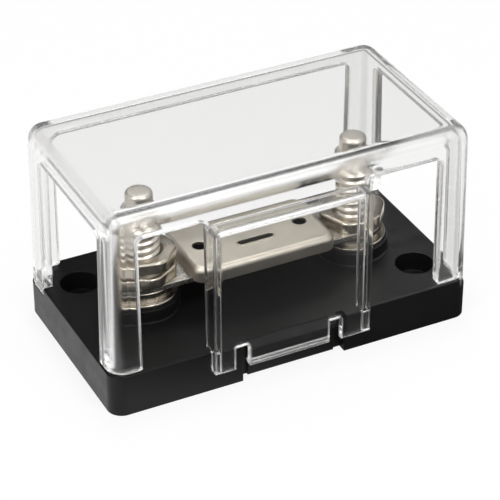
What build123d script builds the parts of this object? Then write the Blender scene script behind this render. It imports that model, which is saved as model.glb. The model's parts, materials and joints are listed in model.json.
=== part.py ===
from build123d import *
from math import radians, tan
import os

# Fuse holder for a bolted strip fuse, in millimetres
# X runs along the base, Y to the back and Z up, from the centre of the base's underside

# Base moulding
base_length = 102.5
base_width = 56.0
base_height = 11.8
base_corner_radius = 4.0
base_edge_radius = 0.5
base_wall = 3.0
base_deck = 4.6
rib_thickness = 2.2
rib_offset = 15.0
boss_diameter = 19.8
boss_height = 3.8
boss_root_radius = 0.5
boss_edge_radius = 0.3

# Fixing holes, on one diagonal of the base
fixing_from_end = 9.75
fixing_from_side = 12.4
fixing_hole_diameter = 5.3
fixing_recess_diameter = 10.4
fixing_recess_depth = 5.6
fixing_boss_wall = 2.4

# Catch in each long side of the base, for the cover's clip tongue
catch_half_width = 14.6
catch_shift = -0.7
catch_set_back = 1.9
catch_slot_width = 2.2
catch_slot_extra = 0.7
catch_tip_inset = 0.05
catch_ledge_height = 8.4
catch_tip_height = 9.6
catch_lead_in_drop = 0.3

# Studs
stud_spacing = 61.2
stud_diameter = 10.0
stud_shank_diameter = 9.8
stud_shank_rise = 0.5
stud_top = 44.1
stud_head_flats = 17.0
stud_head_height = 5.6
stud_point_diameter = 7.2
stud_point_length = 4.4
stud_point_radius = 1.0
stud_shoulder_chamfer = 0.8
stud_plug_thickness = 1.8
stud_tower_wall = 2.4
stud_pocket_clearance = 0.2
stud_hole_clearance = 0.2

# Stack on each stud, from the boss up
washer_bore_clearance = 0.25
seat_washer_diameter = 18.6
seat_washer_thickness = 1.2
lock_washer_diameter = 15.7
lock_washer_thickness = 1.3
lock_washer_gap = 1.2
plain_washer_diameter = 16.6
plain_washer_thickness = 1.7
washer_edge_radius = 0.3
nut_flats = 17.0
nut_height = 3.3
nut_corner_angle = 30.0
nut_top_diameter = 18.6
nut_bore_clearance = 0.1
nut_countersink_diameter = 11.8
nut_countersink_angle = 90.0
left_nut_turn = 30.0
right_nut_turn = -8.0
left_upper_nut_turn = -14.0
upper_washer_diameter = 15.5
upper_washer_thickness = 1.0

# Strip fuse
blade_thickness = 1.4
blade_width = 16.2
blade_end_beyond_stud = 8.5
blade_slot_clearance = 0.3
blade_neck_width = 9.0
blade_neck_length = 14.0
blade_link_width = 4.0
blade_link_length = 5.0
cap_length = 39.9
cap_width = 22.6
cap_bottom_above_blade = 0.9
cap_height = 4.1
cap_sheet = 0.8
cap_corner_radius = 3.0
cap_edge_radius = 1.5
cap_hole_diameter = 3.8
cap_hole_x = 14.3
cap_hole_y = -0.5
cap_slot_length = 10.2
cap_slot_width = 1.9
cap_slot_y = -3.4
cap_slot_rim = 0.45
cap_slot_rim_height = 0.25
cap_blade_clearance = 0.3
insulator_clearance = 0.3
fuse_plate_width = 14.0
fuse_plate_length = 36.0
fuse_plate_thickness = 0.8
fuse_plate_corner_radius = 2.0

# Cover moulding
cover_top = 57.2
cover_wall = 2.8
cover_draft_angle = 1.0
cover_corner_radius = 5.0
cover_edge_radius = 4.4
cover_inner_edge_radius = 1.8
cover_band_bottom = 50.3
cover_clearance = 0.15
front_left_leg = 8.3
front_right_leg = 9.8
back_left_leg = 8.1
back_right_leg = 8.1
post_plain_end_leg = 7.7
post_keyed_end_leg = 10.7
window_corner_radius = 2.0
foot_corner_radius = 1.2
key_depth = 2.1
key_end_clearance = 0.3

# Clip panel on the front of the cover
panel_stand_off = 3.0
panel_thickness = 1.85
panel_left = 24.3
panel_right = 19.9
panel_bottom = 6.35
panel_top = 48.9
panel_top_corner_radius = 2.0
panel_edge_radius = 0.6
tongue_left = 14.6
tongue_right = 7.9
tongue_left_gap = 4.1
tongue_right_gap = 3.6
tongue_gap_top = 13.2
tongue_gap_radius = 0.5
tongue_bead_height = 1.2
tongue_bead_clearance = 0.25
tongue_bead_slope = 0.4

# Closeness at which an edge counts as the one meant
match_tolerance = 0.01

# Derived places
half_length = base_length / 2
half_width = base_width / 2
stud_x = stud_spacing / 2
boss_top = base_height + boss_height
hollow_depth = base_height - base_deck
pocket_flats = stud_head_flats + 2 * stud_pocket_clearance
pocket_depth = stud_plug_thickness + stud_head_height
tower_radius = pocket_flats / 3 ** 0.5 + stud_tower_wall
seat_washer_top = boss_top + seat_washer_thickness
lock_washer_top = seat_washer_top + lock_washer_thickness
blade_bottom = lock_washer_top + plain_washer_thickness
blade_top = blade_bottom + blade_thickness
nut_top = blade_top + nut_height
upper_washer_top = nut_top + upper_washer_thickness
upper_nut_top = upper_washer_top + nut_height
washer_bore = stud_diameter + 2 * washer_bore_clearance
nut_bore = stud_diameter + 2 * nut_bore_clearance
blade_slot_width = stud_diameter + 2 * blade_slot_clearance
cap_bottom = blade_bottom + cap_bottom_above_blade
cap_top = cap_bottom + cap_height
cover_ceiling = cover_top - cover_wall
key_bottom = base_height - key_depth
cover_lean = (cover_top - base_height) * tan(radians(cover_draft_angle))
window_cut = cover_wall + cover_lean
fixing_x = half_length - fixing_from_end
fixing_y = half_width - fixing_from_side
fixing_points = [(-fixing_x, fixing_y), (fixing_x, -fixing_y)]
stud_points = [(-stud_x, 0), (stud_x, 0)]


def long_face(turn):
    """Plane on a long side of the base, facing out, with its Y up; turn 1 is the front."""
    return Plane(origin=(0, -turn * half_width, 0), x_dir=(turn, 0, 0), z_dir=(0, -turn, 0))


def end_face(turn):
    """Plane on an end of the base, facing out, with its Y up; turn 1 is the left end."""
    return Plane(origin=(-turn * half_length, 0, 0), x_dir=(0, -turn, 0), z_dir=(-turn, 0, 0))


def cross_plane(turn, x):
    """Upright plane across the base at x, with its X pointing out of the long side."""
    return Plane(
        origin=(turn * x, -turn * half_width, 0), x_dir=(0, -turn, 0), z_dir=(-turn, 0, 0)
    )


def finish_part(piece, name):
    """Names a finished piece and writes it out."""
    piece.label = name
    export_step(piece, f"parts/{name}.step")


os.makedirs("parts", exist_ok=True)

# Base: one moulding with a ribbed hollow underside
with BuildPart() as base:
    with BuildSketch(Plane.XY):
        RectangleRounded(base_length, base_width, base_corner_radius)
    extrude(amount=base_height)
    fillet(base.faces().sort_by(Axis.Z)[-1].edges(), base_edge_radius)

    # Recess in each long side, deeper at both ends beside the catch block
    for turn in (1, -1):
        with BuildSketch(long_face(turn)):
            with Locations((catch_shift, base_height / 2)):
                Rectangle(2 * catch_half_width, base_height)
        extrude(amount=-catch_set_back, mode=Mode.SUBTRACT)
        with BuildSketch(long_face(turn)):
            slot_x = catch_half_width - catch_slot_width / 2
            with Locations(
                (catch_shift - slot_x, base_height / 2), (catch_shift + slot_x, base_height / 2)
            ):
                Rectangle(catch_slot_width, base_height)
        extrude(amount=-catch_set_back - catch_slot_extra, mode=Mode.SUBTRACT)

        # Wedge of the catch, with its ledge underneath
        wedge_half = catch_half_width - catch_slot_width
        with BuildSketch(cross_plane(turn, catch_shift + wedge_half)):
            with BuildLine():
                Polyline(
                    (-catch_set_back, catch_ledge_height),
                    (-catch_tip_inset, catch_ledge_height),
                    (-catch_tip_inset, catch_tip_height),
                    (-catch_set_back, base_height - catch_lead_in_drop),
                    close=True,
                )
            make_face()
        extrude(amount=2 * wedge_half)

    # Seats for the two keyed posts of the cover, at opposite corners
    for turn in (1, -1):
        key_width = cover_wall + cover_clearance
        key_length = post_keyed_end_leg + cover_clearance
        with BuildSketch(Plane.XY.offset(key_bottom - key_end_clearance)):
            with Locations((turn * (key_width / 2 - half_length), turn * (half_width - key_length / 2))):
                Rectangle(key_width, key_length)
        extrude(amount=key_depth + key_end_clearance, mode=Mode.SUBTRACT)

    # Hollow underside, leaving walls, ribs, stud towers and fixing bosses
    with BuildSketch(Plane.XY):
        RectangleRounded(
            base_length - 2 * base_wall, base_width - 2 * base_wall, base_corner_radius - base_wall
        )
        with Locations(*stud_points):
            Circle(tower_radius, mode=Mode.SUBTRACT)
        with Locations(*fixing_points):
            Circle(fixing_recess_diameter / 2 + fixing_boss_wall, mode=Mode.SUBTRACT)
        Rectangle(base_length, rib_thickness, mode=Mode.SUBTRACT)
        with GridLocations(2 * rib_offset, 0, 2, 1):
            Rectangle(rib_thickness, base_width, mode=Mode.SUBTRACT)
        with GridLocations(2 * stud_x, 0, 2, 1):
            Rectangle(rib_thickness, base_width, mode=Mode.SUBTRACT)
        backing_depth = base_wall + catch_set_back + catch_slot_extra
        with GridLocations(0, base_width - backing_depth, 1, 2):
            backing_half = catch_half_width + abs(catch_shift) + base_wall
            Rectangle(2 * backing_half, backing_depth, mode=Mode.SUBTRACT)
    extrude(amount=hollow_depth, mode=Mode.SUBTRACT)

    # Round bosses that carry the studs' washers
    with BuildSketch(Plane.XY.offset(base_height)):
        with Locations(*stud_points):
            Circle(boss_diameter / 2)
    extrude(amount=boss_height)
    boss_edges = base.edges().filter_by(GeomType.CIRCLE).filter_by(
        lambda edge: abs(edge.radius - boss_diameter / 2) < match_tolerance
    )
    fillet(boss_edges.group_by(Axis.Z)[-1], boss_edge_radius)
    fillet(boss_edges.group_by(Axis.Z)[0], boss_root_radius)

    # Stud holes with hexagon pockets from below
    with BuildSketch(Plane.XY):
        with Locations(*stud_points):
            RegularPolygon(pocket_flats / 2, 6, major_radius=False)
    extrude(amount=pocket_depth, mode=Mode.SUBTRACT)
    with BuildSketch(Plane.XY):
        with Locations(*stud_points):
            Circle(stud_diameter / 2 + stud_hole_clearance)
    extrude(amount=boss_top, mode=Mode.SUBTRACT)

    # Fixing holes with deep recesses for the screw heads
    with Locations(*[Location((x, y, base_height)) for x, y in fixing_points]):
        CounterBoreHole(
            radius=fixing_hole_diameter / 2,
            counter_bore_radius=fixing_recess_diameter / 2,
            counter_bore_depth=fixing_recess_depth,
            depth=base_height,
        )
finish_part(base.part, "base")

# Studs, with the plug that covers each head, and the washers and nuts of each stack
for side, sign, stack_top in (("left", -1, upper_nut_top), ("right", 1, nut_top)):
    centre = (sign * stud_x, 0)
    axis = Axis((sign * stud_x, 0, 0), (0, 0, 1))

    with BuildPart() as stud:
        with BuildSketch(Plane.XY.offset(stud_plug_thickness)):
            with Locations(centre):
                RegularPolygon(stud_head_flats / 2, 6, major_radius=False)
        extrude(amount=stud_head_height)
        with BuildSketch(Plane.XZ):
            with BuildLine():
                x = centre[0]
                shoulder = stud_top - stud_point_length
                shank_top = stack_top + stud_shank_rise
                Polyline(
                    (x, pocket_depth),
                    (x + stud_shank_diameter / 2, pocket_depth),
                    (x + stud_shank_diameter / 2, shank_top),
                    (x + stud_diameter / 2, shank_top),
                    (x + stud_diameter / 2, shoulder - stud_shoulder_chamfer),
                    (x + stud_diameter / 2 - stud_shoulder_chamfer, shoulder),
                    (x + stud_point_diameter / 2, shoulder),
                    (x + stud_point_diameter / 2, stud_top),
                    (x, stud_top),
                    close=True,
                )
            make_face()
        revolve(axis=axis)
        fillet(stud.edges().filter_by(GeomType.CIRCLE).sort_by(Axis.Z)[-1], stud_point_radius)
    finish_part(stud.part, f"{side}_stud")

    with BuildPart() as stud_plug:
        with BuildSketch(Plane.XY):
            with Locations(centre):
                RegularPolygon(stud_head_flats / 2, 6, major_radius=False)
        extrude(amount=stud_plug_thickness)
    finish_part(stud_plug.part, f"{side}_stud_plug")

    with BuildPart() as seat_washer:
        with BuildSketch(Plane.XY.offset(boss_top)):
            with Locations(centre):
                Circle(seat_washer_diameter / 2)
                Circle(washer_bore / 2, mode=Mode.SUBTRACT)
        extrude(amount=seat_washer_thickness)
        rim = seat_washer.edges().filter_by(GeomType.CIRCLE).sort_by(SortBy.RADIUS)[-2:]
        fillet(rim, washer_edge_radius)
    finish_part(seat_washer.part, f"{side}_seat_washer")

    with BuildPart() as lock_washer:
        with BuildSketch(Plane.XY.offset(seat_washer_top)):
            with Locations(centre):
                Circle(lock_washer_diameter / 2)
                Circle(washer_bore / 2, mode=Mode.SUBTRACT)
        extrude(amount=lock_washer_thickness)
        with BuildSketch(Plane.XZ):
            with BuildLine():
                x = centre[0]
                Polyline(
                    (x - lock_washer_gap, seat_washer_top),
                    (x, seat_washer_top),
                    (x + lock_washer_gap, lock_washer_top),
                    (x, lock_washer_top),
                    close=True,
                )
            make_face()
        extrude(amount=-lock_washer_diameter, mode=Mode.SUBTRACT)
    finish_part(lock_washer.part, f"{side}_lock_washer")

    with BuildPart() as plain_washer:
        with BuildSketch(Plane.XY.offset(lock_washer_top)):
            with Locations(centre):
                Circle(plain_washer_diameter / 2)
                Circle(washer_bore / 2, mode=Mode.SUBTRACT)
        extrude(amount=plain_washer_thickness)
        rim = plain_washer.edges().filter_by(GeomType.CIRCLE).sort_by(SortBy.RADIUS)[-2:]
        fillet(rim, washer_edge_radius)
    finish_part(plain_washer.part, f"{side}_plain_washer")

# Nuts: one on each blade, and a second one on the left stud
nut_places = [
    ("left_nut", -stud_x, blade_top, left_nut_turn),
    ("right_nut", stud_x, blade_top, right_nut_turn),
    ("left_upper_nut", -stud_x, upper_washer_top, left_upper_nut_turn),
]
for name, nut_x, nut_bottom, turned in nut_places:
    with BuildPart() as nut:
        with BuildSketch(Plane.XY.offset(nut_bottom)):
            with Locations((nut_x, 0)):
                RegularPolygon(nut_flats / 2, 6, major_radius=False, rotation=turned)
        extrude(amount=nut_height)

        # Corners turned down to a cone at the top
        with BuildSketch(Plane.XZ):
            with BuildLine():
                top_radius = nut_top_diameter / 2
                reach = top_radius + nut_height
                cone_drop = (reach - top_radius) * tan(radians(nut_corner_angle))
                Polyline(
                    (nut_x, nut_bottom),
                    (nut_x + reach, nut_bottom),
                    (nut_x + reach, nut_bottom + nut_height - cone_drop),
                    (nut_x + top_radius, nut_bottom + nut_height),
                    (nut_x, nut_bottom + nut_height),
                    close=True,
                )
            make_face()
        revolve(axis=Axis((nut_x, 0, 0), (0, 0, 1)), mode=Mode.INTERSECT)
        with Locations((nut_x, 0, nut_bottom + nut_height)):
            CounterSinkHole(
                radius=nut_bore / 2,
                counter_sink_radius=nut_countersink_diameter / 2,
                depth=nut_height,
                counter_sink_angle=nut_countersink_angle,
            )
    finish_part(nut.part, name)

with BuildPart() as upper_washer:
    with BuildSketch(Plane.XY.offset(nut_top)):
        with Locations((-stud_x, 0)):
            Circle(upper_washer_diameter / 2)
            Circle(washer_bore / 2, mode=Mode.SUBTRACT)
    extrude(amount=upper_washer_thickness)
finish_part(upper_washer.part, "left_upper_washer")

# Fuse link: one flat strip with a fork at each end and a narrow neck that melts
with BuildPart() as fuse_link:
    with BuildSketch(Plane.XY.offset(blade_bottom)):
        SlotOverall(stud_spacing + 2 * blade_end_beyond_stud, blade_width)
        with Locations(*stud_points):
            Circle(blade_slot_width / 2, mode=Mode.SUBTRACT)
        with GridLocations(stud_spacing + blade_width, 0, 2, 1):
            Rectangle(blade_width, blade_slot_width, mode=Mode.SUBTRACT)
        neck_cut = (blade_width - blade_neck_width) / 2
        with GridLocations(0, blade_neck_width + neck_cut, 1, 2):
            Rectangle(blade_neck_length, neck_cut, mode=Mode.SUBTRACT)
        link_cut = (blade_width - blade_link_width) / 2
        with GridLocations(0, blade_link_width + link_cut, 1, 2):
            Rectangle(blade_link_length, link_cut, mode=Mode.SUBTRACT)
    extrude(amount=blade_thickness)
finish_part(fuse_link.part, "fuse_link")

# Fuse cap: a pressed tray, open below, cut at both ends for the strip
with BuildPart() as fuse_cap:
    with BuildSketch(Plane.XY.offset(cap_bottom)):
        RectangleRounded(cap_length, cap_width, cap_corner_radius)
    extrude(amount=cap_height)
    fillet(fuse_cap.faces().sort_by(Axis.Z)[-1].edges(), cap_edge_radius)
    with BuildSketch(Plane.XY.offset(cap_bottom)):
        RectangleRounded(
            cap_length - 2 * cap_sheet, cap_width - 2 * cap_sheet, cap_corner_radius - cap_sheet
        )
    extrude(amount=cap_height - cap_sheet, mode=Mode.SUBTRACT)
    tray_floor = fuse_cap.faces().filter_by(Axis.Z).sort_by(SortBy.AREA)[-2:].sort_by(Axis.Z)[0]
    fillet(tray_floor.edges(), cap_edge_radius - cap_sheet)
    with BuildSketch(Plane.XY.offset(cap_bottom)):
        Rectangle(2 * cap_length, blade_width + 2 * cap_blade_clearance)
    extrude(amount=blade_top - cap_bottom, mode=Mode.SUBTRACT)

    # Slot with a rim drawn up round it, and two round holes
    with BuildSketch(Plane.XY.offset(cap_top - cap_sheet)):
        with Locations((0, cap_slot_y)):
            SlotOverall(cap_slot_length + 2 * cap_slot_rim, cap_slot_width + 2 * cap_slot_rim)
    extrude(amount=cap_sheet + cap_slot_rim_height)
    with BuildSketch(Plane.XY.offset(cap_top - cap_sheet)):
        with Locations((0, cap_slot_y)):
            SlotOverall(cap_slot_length, cap_slot_width)
        with Locations((-cap_hole_x, cap_hole_y), (cap_hole_x, cap_hole_y)):
            Circle(cap_hole_diameter / 2)
    extrude(amount=cap_sheet + cap_slot_rim_height, mode=Mode.SUBTRACT)
finish_part(fuse_cap.part, "fuse_cap")

# Insulating block between the strip and the cap
with BuildPart() as fuse_insulator:
    inset = 2 * (cap_sheet + insulator_clearance)
    with BuildSketch(Plane.XY.offset(blade_top)):
        RectangleRounded(
            cap_length - inset, cap_width - inset, cap_corner_radius - inset / 2
        )
    extrude(amount=cap_top - cap_sheet - blade_top)
    chamfer(
        fuse_insulator.faces().sort_by(Axis.Z)[-1].edges(), cap_edge_radius - cap_sheet
    )
finish_part(fuse_insulator.part, "fuse_insulator")

# Insulating plate under the strip
with BuildPart() as fuse_plate:
    with BuildSketch(Plane.XY.offset(blade_bottom - fuse_plate_thickness)):
        RectangleRounded(fuse_plate_length, fuse_plate_width, fuse_plate_corner_radius)
    extrude(amount=fuse_plate_thickness)
finish_part(fuse_plate.part, "fuse_lower_plate")

# Cover: one clear moulding, open below, with windows in front, at the back and in both ends
with BuildPart() as cover:
    with BuildSketch(Plane.XY.offset(base_height)):
        RectangleRounded(base_length, base_width, cover_corner_radius)
    extrude(amount=cover_top - base_height, taper=cover_draft_angle)
    fillet(cover.faces().sort_by(Axis.Z)[-1].edges(), cover_edge_radius)
    with BuildSketch(Plane.XY.offset(base_height)):
        RectangleRounded(
            base_length - 2 * cover_wall, base_width - 2 * cover_wall, cover_corner_radius - cover_wall
        )
    extrude(
        amount=cover_ceiling - base_height, taper=cover_draft_angle, mode=Mode.SUBTRACT
    )
    ceiling = cover.faces().filter_by(Axis.Z).sort_by(SortBy.AREA)[-2:].sort_by(Axis.Z)[0]
    fillet(ceiling.edges(), cover_inner_edge_radius)

    # Front windows on both sides of the panel and one wide back window, all open at the foot
    window_height = cover_band_bottom - base_height
    windows = [
        (1, front_left_leg - half_length, -panel_left),
        (1, panel_right, half_length - front_right_leg),
        (-1, back_right_leg - half_length, half_length - back_left_leg),
    ]
    for turn, window_from, window_to in windows:
        with BuildSketch(long_face(turn)):
            with Locations(((window_from + window_to) / 2, cover_band_bottom - window_height)):
                RectangleRounded(window_to - window_from, 2 * window_height, window_corner_radius)
        extrude(amount=-window_cut, mode=Mode.SUBTRACT)

    # End windows, with a longer leg on the keyed post than on the plain one
    for turn in (1, -1):
        with BuildSketch(end_face(turn)):
            end_from = post_keyed_end_leg - half_width
            end_to = half_width - post_plain_end_leg
            with Locations(((end_from + end_to) / 2, cover_band_bottom - window_height)):
                RectangleRounded(end_to - end_from, 2 * window_height, window_corner_radius)
        extrude(amount=-window_cut, mode=Mode.SUBTRACT)

    # Feet of the posts rounded at the windows
    foot_edges = cover.edges().group_by(Axis.Z)[0]
    long_feet = foot_edges.filter_by(Axis.Y).filter_by(
        lambda edge: abs(edge.center().X) > panel_left + cover_wall
    )
    plain_feet = foot_edges.filter_by(Axis.X).filter_by(
        lambda edge: abs(abs(edge.center().Y) - half_width + post_plain_end_leg) < match_tolerance
    )
    fillet(long_feet + plain_feet, foot_corner_radius)

    # Keys under the keyed posts, the end walls carried down into the base
    for turn in (1, -1):
        key_length = post_keyed_end_leg
        with BuildSketch(Plane.XY.offset(key_bottom)):
            RectangleRounded(base_length, base_width, cover_corner_radius)
            with Locations((turn * (cover_wall / 2 - half_length), turn * (half_width - key_length / 2))):
                Rectangle(cover_wall, key_length, mode=Mode.INTERSECT)
        extrude(amount=key_depth)

    # Clip panel, standing off the wall on a ledge and two side ribs
    panel_width = panel_left + panel_right
    panel_middle = (panel_right - panel_left) / 2
    inner_width = panel_width - 2 * panel_thickness
    with BuildSketch(long_face(1).offset(-cover_wall)):
        with Locations((panel_middle, (panel_bottom + panel_top) / 2)):
            RectangleRounded(panel_width, panel_top - panel_bottom, panel_top_corner_radius)
        with Locations((panel_middle, panel_bottom + panel_top_corner_radius)):
            Rectangle(panel_width, 2 * panel_top_corner_radius)
    extrude(amount=cover_wall + panel_stand_off)
    panel_front = cover.faces().sort_by(Axis((0, 0, 0), (0, -1, 0)))[-1]
    fillet(panel_front.edges(), panel_edge_radius)
    with BuildSketch(long_face(1).offset(panel_stand_off - panel_thickness)):
        with Locations((panel_middle, (panel_bottom + panel_top) / 2 - panel_thickness)):
            Rectangle(inner_width, panel_top - panel_bottom)
    extrude(amount=-window_cut - panel_stand_off + panel_thickness, mode=Mode.SUBTRACT)
    with BuildSketch(long_face(1).offset(cover_clearance)):
        with Locations((panel_middle, (panel_bottom + base_height) / 2)):
            Rectangle(panel_width, base_height - panel_bottom)
    extrude(amount=-cover_wall - cover_clearance, mode=Mode.SUBTRACT)

    # Slits that free the tongue in the middle of the panel
    with BuildSketch(long_face(1).offset(panel_stand_off)):
        slit_height = 2 * (tongue_gap_top - panel_bottom)
        with Locations((-tongue_left - tongue_left_gap / 2, panel_bottom)):
            RectangleRounded(tongue_left_gap, slit_height, tongue_gap_radius)
        with Locations((tongue_right + tongue_right_gap / 2, panel_bottom)):
            RectangleRounded(tongue_right_gap, slit_height, tongue_gap_radius)
    extrude(amount=-panel_thickness, mode=Mode.SUBTRACT)

    # Bead inside the foot of the tongue
    bead_face = panel_stand_off - panel_thickness
    bead_tip = tongue_bead_clearance - catch_tip_inset
    with BuildSketch(cross_plane(1, tongue_right)):
        with BuildLine():
            Polyline(
                (bead_face, panel_bottom),
                (bead_tip, panel_bottom + tongue_bead_slope),
                (bead_tip, panel_bottom + tongue_bead_height - tongue_bead_slope),
                (bead_face, panel_bottom + tongue_bead_height),
                close=True,
            )
        make_face()
    extrude(amount=tongue_left + tongue_right)
finish_part(cover.part, "cover")
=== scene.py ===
import bpy
import json
import math
from mathutils import Matrix, Vector


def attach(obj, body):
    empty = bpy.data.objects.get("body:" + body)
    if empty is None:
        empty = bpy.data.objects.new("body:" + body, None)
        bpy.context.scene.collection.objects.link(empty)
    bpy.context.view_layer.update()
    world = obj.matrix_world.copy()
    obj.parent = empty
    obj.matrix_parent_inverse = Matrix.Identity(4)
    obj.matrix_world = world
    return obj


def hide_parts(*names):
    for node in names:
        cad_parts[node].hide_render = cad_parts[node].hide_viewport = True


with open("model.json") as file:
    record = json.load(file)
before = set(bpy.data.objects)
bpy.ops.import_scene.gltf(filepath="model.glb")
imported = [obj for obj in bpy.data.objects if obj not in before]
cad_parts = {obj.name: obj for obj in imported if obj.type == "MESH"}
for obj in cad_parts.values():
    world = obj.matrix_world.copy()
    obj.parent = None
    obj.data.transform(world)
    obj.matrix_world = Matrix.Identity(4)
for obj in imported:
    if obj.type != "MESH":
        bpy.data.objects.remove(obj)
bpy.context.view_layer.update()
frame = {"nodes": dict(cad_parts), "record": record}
MM = 0.001

# Camera fitted to the photograph, in degrees and metres
CAMERA_AZIMUTH = -26.4182
CAMERA_ELEVATION = 33.2853
CAMERA_ROLL = -0.0892
CAMERA_DISTANCE = 0.597443
CAMERA_RIGHT = 0.000491
CAMERA_UP = 0.015854
CAMERA_LENS = 161.194
SENSOR = 36.0

# Studio, as strengths where 1 is white: a dark card at the back and a dimmer ceiling, in mirrors
# and in reflections that leave through the cover
WORLD_LIGHT = 0.5
CARD = 0.1
CEILING = 0.6
THROUGH_CARD = 0.38
THROUGH_CEILING = 0.6
CARD_WAY = (0.44, 0.9, 0)
CARD_EDGE = (0.35, 0.65)
CEILING_EDGE = (0.5, 0.9)

# Floor: a painted shadow, seen only in mirrors: dark before the object, less so at the right through the
# cover, in metres along each way
FLOOR_PAINTED_SHADOW = 0.08
FLOOR_SOFT_PAINTED_SHADOW = 0.7
FLOOR_WAY = (-0.35, 0.94, 0)
FLOOR_EDGE = (-36 * MM, -15 * MM)
FLOOR_RIGHT_EDGE = (30 * MM, 60 * MM)
FLOOR_GLOW = 0.85
FLOOR_REACH = 2.0

# Lamps: name, azimuth and elevation in degrees, size in metres and power in watts
LAMP_DISTANCE = 0.8
LAMP_AIM = Vector((0, 0, 0.03))
LAMPS = [
    ("left_box", (-156, 52), (0.26, 0.3), 2.2),
    ("right_box", (-76, 52), (0.26, 0.3), 2.2),
    ("top_box", (64, 62), (0.4, 0.4), 2.15),
]

# Clear plastic: hazier where its surface turns an edge, and faintly grey there as painted shade
FLAT_HAZE = (0.015, 0.04)
EDGE_HAZE = 0.2
EDGE_PAINTED_SHADE = (0.88, 0.877, 0.865)
FLAT_TINT = (0.975, 0.975, 0.968)
EDGE_RANGE = (0.9, 0.995)
CLEAR_EDGE = 1.0 * MM
SHADOW_TINT = (0.93, 0.935, 0.93)

# Bounces that the walls of the clear cover need
ALL_BOUNCES = 24
GLOSSY_BOUNCES = 16
TRANSMISSION_BOUNCES = 24

# Tarnish on metal, in features per metre
STAINS = 70.0

# Where the black plastic's painted sheen changes: by the upward part of its normal, and along its top as a
# painted reflection
SIDE_TO_TOP = (0.3, 0.9)
TOP_PAINTED_SHEEN_ALONG = (-10 * MM, 50 * MM)

# Stud and thread sizes, in metres, as in the CAD model
STUD_X = 30.6 * MM
STUD_RADIUS = 5.0 * MM
STUD_TOP = 44.1 * MM
STUD_HEAD = (1.8 * MM, 7.4 * MM)
STUD_HEAD_FLATS = 17.0 * MM
POINT_LENGTH = 4.4 * MM
POINT_RADIUS = 3.6 * MM
POINT_ROUND = 1.0 * MM
SHOULDER = 0.8 * MM
THREAD_PITCH = 2.1 * MM
THREAD_DEPTH = 0.62 * MM
THREAD_GROOVE = 0.34

# Nut sizes, in metres; the corners and the top edge are rounder than in the CAD model
NUT_FLAT = 8.5 * MM
NUT_CORNER = 9.15 * MM
NUT_BORE = 5.1 * MM
NUT_SINK = 5.9 * MM
NUT_ROUND = 0.6 * MM
NUT_BLEND = 90
NUT_TURNS = {"left_nut": 30.0, "right_nut": -8.0, "left_upper_nut": -14.0}


def new_material(name):
    """A new material, with its tree and its output node."""
    mat = bpy.data.materials.new(name)
    mat.use_nodes = True
    tree = mat.node_tree
    tree.nodes.clear()
    out = tree.nodes.new("ShaderNodeOutputMaterial")
    return mat, tree, out


def noise(tree, scale, detail=2.0, roughness=0.5):
    """Noise in object coordinates, in features per metre."""
    coords = tree.nodes.new("ShaderNodeTexCoord")
    tex = tree.nodes.new("ShaderNodeTexNoise")
    tex.inputs["Scale"].default_value = scale
    tex.inputs["Detail"].default_value = detail
    tex.inputs["Roughness"].default_value = roughness
    tree.links.new(coords.outputs["Object"], tex.inputs["Vector"])
    return tex.outputs["Fac"]


def spread(tree, source, low, high, start=0.3, end=0.7):
    """Maps a value from start..end to low..high."""
    node = tree.nodes.new("ShaderNodeMapRange")
    node.inputs["From Min"].default_value = start
    node.inputs["From Max"].default_value = end
    node.inputs["To Min"].default_value = low
    node.inputs["To Max"].default_value = high
    tree.links.new(source, node.inputs["Value"])
    return node.outputs["Result"]


def blend_colours(tree, source, low, high, start=0.3, end=0.7):
    """Blends two colours by a value."""
    node = tree.nodes.new("ShaderNodeValToRGB")
    node.color_ramp.elements[0].position = start
    node.color_ramp.elements[0].color = (*low, 1)
    node.color_ramp.elements[1].position = end
    node.color_ramp.elements[1].color = (*high, 1)
    tree.links.new(source, node.inputs["Fac"])
    return node.outputs["Color"]


def rounded(tree, radius, samples=6):
    """Normals as if the edges were rounded."""
    node = tree.nodes.new("ShaderNodeBevel")
    node.samples = samples
    node.inputs["Radius"].default_value = radius
    return node.outputs["Normal"]


def bump(tree, height, strength, distance, normal):
    """Fine relief from a height, on top of a normal."""
    node = tree.nodes.new("ShaderNodeBump")
    node.inputs["Strength"].default_value = strength
    node.inputs["Distance"].default_value = distance
    tree.links.new(height, node.inputs["Height"])
    tree.links.new(normal, node.inputs["Normal"])
    return node.outputs["Normal"]


def metal(name, dark, pale, rough, grain, grain_depth, edge):
    """Plated metal with slight tarnish, uneven polish and fine grain."""
    mat, tree, out = new_material(name)
    shader = tree.nodes.new("ShaderNodeBsdfPrincipled")
    shader.inputs["Metallic"].default_value = 1.0
    clouds = noise(tree, STAINS, 3.0)
    tree.links.new(blend_colours(tree, clouds, dark, pale), shader.inputs["Base Color"])
    polish = noise(tree, 4 * STAINS, 4.0, 0.6)
    tree.links.new(spread(tree, polish, *rough), shader.inputs["Roughness"])
    fine = noise(tree, grain, 2.0)
    normal = bump(tree, fine, 0.35, grain_depth, rounded(tree, edge))
    tree.links.new(normal, shader.inputs["Normal"])
    tree.links.new(shader.outputs["BSDF"], out.inputs["Surface"])
    return mat


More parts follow.
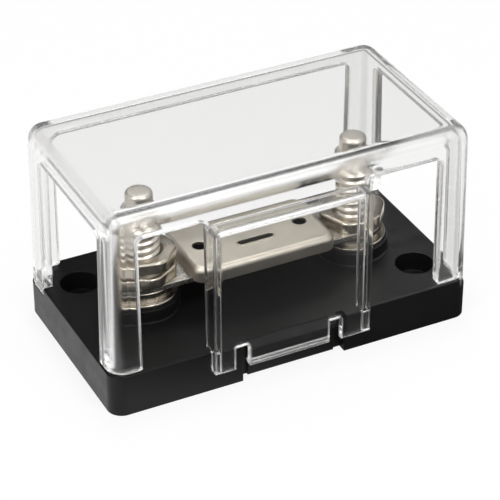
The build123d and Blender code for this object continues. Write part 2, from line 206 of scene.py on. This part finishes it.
def plastic(name, dark, pale, rough, grain, grain_depth, edge, side_painted_sheen, top_painted_sheen):
    """Black moulding with a spark-eroded grain and a painted sheen, weaker on top than on its sides and
    changing along its top.
    """
    mat, tree, out = new_material(name)
    shader = tree.nodes.new("ShaderNodeBsdfPrincipled")
    shader.inputs["IOR"].default_value = 1.5
    coords = tree.nodes.new("ShaderNodeTexCoord")
    # Painted sheen: the specular level follows the normal's upward part and the place along x, standing in
    # for reflections
    top = along(tree, coords.outputs["Object"], (1, 0, 0), *top_painted_sheen, *TOP_PAINTED_SHEEN_ALONG)
    painted_sheen = along(tree, coords.outputs["Normal"], (0, 0, 1), side_painted_sheen, top, *SIDE_TO_TOP)
    tree.links.new(painted_sheen, shader.inputs["Specular IOR Level"])
    clouds = noise(tree, 45.0, 3.0)
    tree.links.new(blend_colours(tree, clouds, dark, pale), shader.inputs["Base Color"])
    patches = noise(tree, 260.0, 3.0)
    tree.links.new(spread(tree, patches, *rough), shader.inputs["Roughness"])
    fine = noise(tree, grain, 3.0, 0.65)
    normal = bump(tree, fine, 0.3, grain_depth, rounded(tree, edge))
    tree.links.new(normal, shader.inputs["Normal"])
    tree.links.new(shader.outputs["BSDF"], out.inputs["Surface"])
    return mat


def largest_part(tree, normal):
    """Largest part of a normal, which is 1 on faces that are square to an axis."""
    size = tree.nodes.new("ShaderNodeVectorMath")
    size.operation = "ABSOLUTE"
    tree.links.new(normal, size.inputs[0])
    parts = tree.nodes.new("ShaderNodeSeparateXYZ")
    tree.links.new(size.outputs["Vector"], parts.inputs["Vector"])
    largest = parts.outputs["X"]
    for axis in ("Y", "Z"):
        node = tree.nodes.new("ShaderNodeMath")
        node.operation = "MAXIMUM"
        tree.links.new(largest, node.inputs[0])
        tree.links.new(parts.outputs[axis], node.inputs[1])
        largest = node.outputs["Value"]
    return largest


def clear_plastic(name):
    """Clear polycarbonate with faint flow marks, that lets the lamps' light through."""
    mat, tree, out = new_material(name)
    shader = tree.nodes.new("ShaderNodeBsdfPrincipled")
    soft = rounded(tree, CLEAR_EDGE, 8)
    squareness = largest_part(tree, soft)
    # Painted shade: the colour turns faintly grey at the rounded edges, where the rounded normals leave the
    # axes
    tint_with_painted_edge_shade = blend_colours(tree, squareness, EDGE_PAINTED_SHADE, FLAT_TINT, *EDGE_RANGE)
    tree.links.new(tint_with_painted_edge_shade, shader.inputs["Base Color"])
    shader.inputs["Transmission Weight"].default_value = 1.0
    shader.inputs["IOR"].default_value = 1.58
    haze = noise(tree, 30.0, 2.0)
    flat = spread(tree, haze, *FLAT_HAZE)
    curved = tree.nodes.new("ShaderNodeMapRange")
    curved.inputs["From Min"].default_value = EDGE_RANGE[0]
    curved.inputs["From Max"].default_value = EDGE_RANGE[1]
    curved.inputs["To Min"].default_value = EDGE_HAZE
    tree.links.new(squareness, curved.inputs["Value"])
    tree.links.new(flat, curved.inputs["To Max"])
    tree.links.new(curved.outputs["Result"], shader.inputs["Roughness"])
    flow = noise(tree, 14.0, 1.0)
    normal = bump(tree, flow, 0.1, 0.3 * MM, soft)
    tree.links.new(normal, shader.inputs["Normal"])
    through = tree.nodes.new("ShaderNodeBsdfTransparent")
    through.inputs["Color"].default_value = (*SHADOW_TINT, 1)
    path = tree.nodes.new("ShaderNodeLightPath")
    either = tree.nodes.new("ShaderNodeMath")
    either.operation = "MAXIMUM"
    tree.links.new(path.outputs["Is Shadow Ray"], either.inputs[0])
    tree.links.new(path.outputs["Is Diffuse Ray"], either.inputs[1])
    mix = tree.nodes.new("ShaderNodeMixShader")
    tree.links.new(either.outputs["Value"], mix.inputs["Fac"])
    tree.links.new(shader.outputs["BSDF"], mix.inputs[1])
    tree.links.new(through.outputs["BSDF"], mix.inputs[2])
    tree.links.new(mix.outputs["Shader"], out.inputs["Surface"])
    return mat


def set_material(obj, mat):
    """Gives an object one material."""
    obj.data.materials.clear()
    obj.data.materials.append(mat)


def stud_profile(z):
    """Radius of the plain stud at a height above its head."""
    shoulder = STUD_TOP - POINT_LENGTH
    if z <= shoulder - SHOULDER:
        return STUD_RADIUS
    if z <= shoulder:
        return STUD_RADIUS - (z - shoulder + SHOULDER)
    into_round = z - (STUD_TOP - POINT_ROUND)
    if into_round <= 0:
        return POINT_RADIUS
    return POINT_RADIUS - POINT_ROUND + math.sqrt(max(POINT_ROUND**2 - into_round**2, 0))


def thread_cut(z, angle):
    """Depth of the thread's groove at a height and an angle."""
    turn = z / THREAD_PITCH - angle / (2 * math.pi)
    offset = abs(turn - round(turn)) / THREAD_GROOVE
    if offset >= 1:
        return 0.0
    return THREAD_DEPTH * 0.5 * (1 + math.cos(math.pi * offset))


def threaded_stud(name, x):
    """The stud with its thread, hexagon head and rounded plain point."""
    around = 72
    thread_end = STUD_TOP - POINT_LENGTH
    heights = []
    z = STUD_HEAD[1]
    while z < thread_end - 0.05 * MM:
        heights.append(z)
        z += 0.14 * MM
    heights += [thread_end - 0.01 * MM, thread_end, STUD_TOP - POINT_ROUND]
    round_steps = 8
    for step in range(1, round_steps + 1):
        tilt = step / round_steps * math.pi / 2
        heights.append(STUD_TOP - POINT_ROUND * (1 - math.sin(tilt)))
    verts = []
    faces = []
    for height in heights:
        for column in range(around):
            angle = 2 * math.pi * column / around
            radius = stud_profile(height)
            if height < thread_end:
                radius = min(radius, STUD_RADIUS - thread_cut(height, angle))
            elif height == thread_end:
                radius = POINT_RADIUS
            verts.append((x + radius * math.cos(angle), radius * math.sin(angle), height))
    for row in range(len(heights) - 1):
        for column in range(around):
            after = (column + 1) % around
            faces.append((
                row * around + column,
                row * around + after,
                (row + 1) * around + after,
                (row + 1) * around + column,
            ))
    top = (len(heights) - 1) * around
    faces.append(tuple(top + column for column in range(around)))
    start = len(verts)
    corner = STUD_HEAD_FLATS / math.sqrt(3)
    for height in STUD_HEAD:
        for side in range(6):
            angle = math.radians(60 * side)
            verts.append((x + corner * math.cos(angle), corner * math.sin(angle), height))
    faces.append(tuple(start + side for side in reversed(range(6))))
    faces.append(tuple(start + 6 + side for side in range(6)))
    for side in range(6):
        after = (side + 1) % 6
        faces.append((start + side, start + after, start + 6 + after, start + 6 + side))
    mesh = bpy.data.meshes.new(name)
    mesh.from_pydata(verts, [], faces)
    mesh.shade_smooth()
    mesh.set_sharp_from_angle(angle=math.radians(40))
    obj = bpy.data.objects.new(name, mesh)
    bpy.context.scene.collection.objects.link(obj)
    return obj


def nut_reach(angle):
    """Radius of the nut's section, a hexagon with rounded corners, at an angle from a corner."""
    from_flat = (angle % (math.pi / 3)) - math.pi / 6
    flat = NUT_FLAT / math.cos(from_flat)
    return (flat**-NUT_BLEND + NUT_CORNER**-NUT_BLEND) ** (-1 / NUT_BLEND)


def rounded_nut(name, turn, cad_nut):
    """A nut with rounded corners and top edge, in the place of the CAD nut."""
    around = 144
    places = [cad_nut.matrix_world @ Vector(corner) for corner in cad_nut.bound_box]
    bottom = min(place.z for place in places)
    top = max(place.z for place in places)
    middle = sum(place.x for place in places) / 8
    rings = [(bottom, NUT_ROUND / 2), (bottom + NUT_ROUND / 2, 0.0)]
    for step in range(7):
        tilt = step / 6 * math.pi / 2
        rings.append((top - NUT_ROUND * (1 - math.sin(tilt)), NUT_ROUND * (1 - math.cos(tilt))))
    verts = []
    for height, inset in rings:
        for column in range(around):
            angle = 2 * math.pi * column / around
            reach = nut_reach(angle - math.radians(turn)) - inset
            verts.append((middle + reach * math.cos(angle), reach * math.sin(angle), height))
    for height, reach in ((top, NUT_SINK), (top - NUT_SINK + NUT_BORE, NUT_BORE), (bottom, NUT_BORE)):
        for column in range(around):
            angle = 2 * math.pi * column / around
            verts.append((middle + reach * math.cos(angle), reach * math.sin(angle), height))
    count = len(rings) + 3
    faces = []
    for ring in range(count):
        start = ring * around
        after = (ring + 1) % count * around
        for column in range(around):
            turned = (column + 1) % around
            faces.append((start + column, start + turned, after + turned, after + column))
    mesh = bpy.data.meshes.new(name)
    mesh.from_pydata(verts, [], faces)
    mesh.shade_smooth()
    mesh.set_sharp_from_angle(angle=math.radians(35))
    obj = bpy.data.objects.new(name, mesh)
    bpy.context.scene.collection.objects.link(obj)
    return obj


def aim_camera():
    """Places the camera as in the photograph."""
    azimuth = math.radians(CAMERA_AZIMUTH)
    elevation = math.radians(CAMERA_ELEVATION)
    back = Vector((
        math.sin(azimuth) * math.cos(elevation),
        -math.cos(azimuth) * math.cos(elevation),
        math.sin(elevation),
    ))
    level = Vector((0, 0, 1)).cross(back).normalized()
    upright = back.cross(level)
    roll = math.radians(CAMERA_ROLL)
    right = level * math.cos(roll) + upright * math.sin(roll)
    up = upright * math.cos(roll) - level * math.sin(roll)
    place = right * CAMERA_RIGHT + up * CAMERA_UP + back * CAMERA_DISTANCE
    data = bpy.data.cameras.new("camera")
    data.lens = CAMERA_LENS
    data.sensor_width = SENSOR
    data.clip_start = 0.01
    data.clip_end = 20
    camera = bpy.data.objects.new("camera", data)
    turn = Matrix((right, up, back)).transposed().to_4x4()
    camera.matrix_world = Matrix.Translation(place) @ turn
    bpy.context.scene.collection.objects.link(camera)
    bpy.context.scene.camera = camera


def area_light(name, direction, size, power):
    """A soft rectangular lamp that points at the middle of the object."""
    data = bpy.data.lights.new(name, "AREA")
    data.shape = "RECTANGLE"
    data.size = size[0]
    data.size_y = size[1]
    data.energy = power
    lamp = bpy.data.objects.new(name, data)
    azimuth, elevation = (math.radians(a) for a in direction)
    way = Vector((
        math.cos(elevation) * math.cos(azimuth),
        math.cos(elevation) * math.sin(azimuth),
        math.sin(elevation),
    ))
    lamp.location = LAMP_AIM + way * LAMP_DISTANCE
    lamp.rotation_euler = way.to_track_quat("Z", "Y").to_euler()
    bpy.context.scene.collection.objects.link(lamp)


def choose(tree, kind, when, otherwise):
    """One value for rays of one kind, and another for the rest."""
    path = tree.nodes.new("ShaderNodeLightPath")
    node = tree.nodes.new("ShaderNodeMix")
    tree.links.new(path.outputs[kind], node.inputs["Factor"])
    for socket, value in (("A", otherwise), ("B", when)):
        if isinstance(value, float):
            node.inputs[socket].default_value = value
        else:
            tree.links.new(value, node.inputs[socket])
    return node.outputs["Result"]


def along(tree, coordinate, way, low, high, start, end):
    """Smooth change of a value from start to end along a direction."""
    dot = tree.nodes.new("ShaderNodeVectorMath")
    dot.operation = "DOT_PRODUCT"
    dot.inputs[1].default_value = way
    tree.links.new(coordinate, dot.inputs[0])
    node = tree.nodes.new("ShaderNodeMapRange")
    node.interpolation_type = "SMOOTHSTEP"
    node.inputs["From Min"].default_value = start
    node.inputs["From Max"].default_value = end
    for socket, value in (("To Min", low), ("To Max", high)):
        if isinstance(value, (int, float)):
            node.inputs[socket].default_value = value
        else:
            tree.links.new(value, node.inputs[socket])
    tree.links.new(dot.outputs["Value"], node.inputs["Value"])
    return node.outputs["Result"]


def make_floor():
    """White floor that keeps a faint shadow; in mirrors a painted shadow makes it dark before the object."""
    mat, tree, out = new_material("floor_white")
    diffuse = tree.nodes.new("ShaderNodeBsdfDiffuse")
    diffuse.inputs["Color"].default_value = (0.8, 0.8, 0.8, 1)
    glow = tree.nodes.new("ShaderNodeEmission")
    glow.inputs["Color"].default_value = (1, 1, 1, 1)
    coords = tree.nodes.new("ShaderNodeTexCoord")
    place = coords.outputs["Object"]
    # Painted shadow: the glow that mirrors see is darker before the object, softer at the right through the
    # cover
    painted_shadow = along(tree, place, FLOOR_WAY, FLOOR_PAINTED_SHADOW, 1.0, *FLOOR_EDGE)
    softer_painted_shadow = along(tree, place, FLOOR_WAY, FLOOR_SOFT_PAINTED_SHADOW, 1.0, *FLOOR_EDGE)
    side = along(tree, place, (1, 0, 0), painted_shadow, softer_painted_shadow, *FLOOR_RIGHT_EDGE)
    through = choose(tree, "Glossy Depth", side, 1.0)
    mirrored = choose(tree, "Is Transmission Ray", through, painted_shadow)
    seen = choose(tree, "Is Camera Ray", 1.0, choose(tree, "Is Glossy Ray", mirrored, 0.0))
    tree.links.new(seen, glow.inputs["Strength"])
    share = choose(tree, "Is Camera Ray", FLOOR_GLOW, choose(tree, "Is Glossy Ray", 1.0, 0.0))
    mix = tree.nodes.new("ShaderNodeMixShader")
    tree.links.new(share, mix.inputs["Fac"])
    tree.links.new(diffuse.outputs["BSDF"], mix.inputs[1])
    tree.links.new(glow.outputs["Emission"], mix.inputs[2])
    tree.links.new(mix.outputs["Shader"], out.inputs["Surface"])
    corners = [(x * FLOOR_REACH, y * FLOOR_REACH, 0) for x, y in ((-1, -1), (1, -1), (1, 1), (-1, 1))]
    mesh = bpy.data.meshes.new("floor")
    mesh.from_pydata(corners, [], [(0, 1, 2, 3)])
    floor = bpy.data.objects.new("floor", mesh)
    set_material(floor, mat)
    bpy.context.scene.collection.objects.link(floor)


def make_world():
    """White surroundings; in mirrors they have a dark card at the back and a dimmer ceiling."""
    world = bpy.data.worlds.new("studio")
    world.use_nodes = True
    tree = world.node_tree
    tree.nodes.clear()
    out = tree.nodes.new("ShaderNodeOutputWorld")
    coords = tree.nodes.new("ShaderNodeTexCoord")
    way = coords.outputs["Generated"]
    levels = []
    for card, ceiling in ((THROUGH_CARD, THROUGH_CEILING), (CARD, CEILING)):
        both = tree.nodes.new("ShaderNodeMath")
        both.operation = "MULTIPLY"
        tree.links.new(along(tree, way, CARD_WAY, 1.0, card, *CARD_EDGE), both.inputs[0])
        tree.links.new(along(tree, way, (0, 0, 1), 1.0, ceiling, *CEILING_EDGE), both.inputs[1])
        levels.append(both.outputs["Value"])
    through = choose(tree, "Glossy Depth", levels[0], 1.0)
    glossy = choose(tree, "Is Transmission Ray", through, levels[1])
    rest = choose(tree, "Is Glossy Ray", glossy, WORLD_LIGHT)
    front = tree.nodes.new("ShaderNodeBackground")
    front.inputs["Color"].default_value = (1, 1, 1, 1)
    tree.links.new(choose(tree, "Is Camera Ray", 1.0, rest), front.inputs["Strength"])
    tree.links.new(front.outputs["Background"], out.inputs["Surface"])
    bpy.context.scene.world = world


aim_camera()
bpy.context.scene.view_settings.view_transform = "Standard"
bpy.context.scene.cycles.max_bounces = ALL_BOUNCES
bpy.context.scene.cycles.glossy_bounces = GLOSSY_BOUNCES
bpy.context.scene.cycles.transmission_bounces = TRANSMISSION_BOUNCES
make_world()
make_floor()
for lamp in LAMPS:
    area_light(*lamp)

black = plastic(
    "black_nylon", (0.0055, 0.0055, 0.0056), (0.008, 0.008, 0.008), (0.3, 0.4), 2600.0, 0.012 * MM, 0.3 * MM,
    0.2, (0.06, 0.44)
)
board = plastic(
    "black_board", (0.002, 0.002, 0.002), (0.004, 0.004, 0.004), (0.5, 0.65), 1500.0, 0.02 * MM, 0.2 * MM,
    0.1, (0.02, 0.02)
)
clear = clear_plastic("clear_polycarbonate")
nickel = metal(
    "bright_nickel", (0.45, 0.41, 0.35), (0.55, 0.505, 0.435), (0.2, 0.28), 3000.0, 0.006 * MM, 0.1 * MM
)
stud_nickel = metal(
    "stud_nickel", (0.55, 0.515, 0.465), (0.65, 0.617, 0.565), (0.3, 0.36), 3500.0, 0.005 * MM, 0.1 * MM
)
spring = metal(
    "spring_plate", (0.36, 0.335, 0.30), (0.48, 0.45, 0.41), (0.22, 0.34), 2500.0, 0.008 * MM, 0.15 * MM
)
satin = metal(
    "satin_nickel", (0.46, 0.425, 0.37), (0.53, 0.495, 0.435), (0.36, 0.42), 4200.0, 0.008 * MM, 0.2 * MM
)
link = metal(
    "link_plate", (0.56, 0.535, 0.49), (0.66, 0.635, 0.59), (0.22, 0.32), 3000.0, 0.008 * MM, 0.15 * MM
)

finishes = {
    "black_moulding": black,
    "black_plug": board,
    "black_insulator": board,
    "clear_moulding": clear,
    "plated_stud": stud_nickel,
    "plated_washer": nickel,
    "plated_nut": nickel,
    "spring_steel": spring,
    "plated_cap": satin,
    "plated_link": link,
}
for subpart in frame["record"]["subparts"]:
    set_material(frame["nodes"][subpart["node"]], finishes[subpart["material_slot"]])

for side, sign in (("left", -1), ("right", 1)):
    stud = threaded_stud(f"{side}_threaded_stud", sign * STUD_X)
    set_material(stud, stud_nickel)
    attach(stud, "holder")
    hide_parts(f"{side}_stud")

for node, turn in NUT_TURNS.items():
    nut = rounded_nut(f"{node}_rounded", turn, frame["nodes"][node])
    set_material(nut, nickel)
    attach(nut, "holder")
    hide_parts(node)
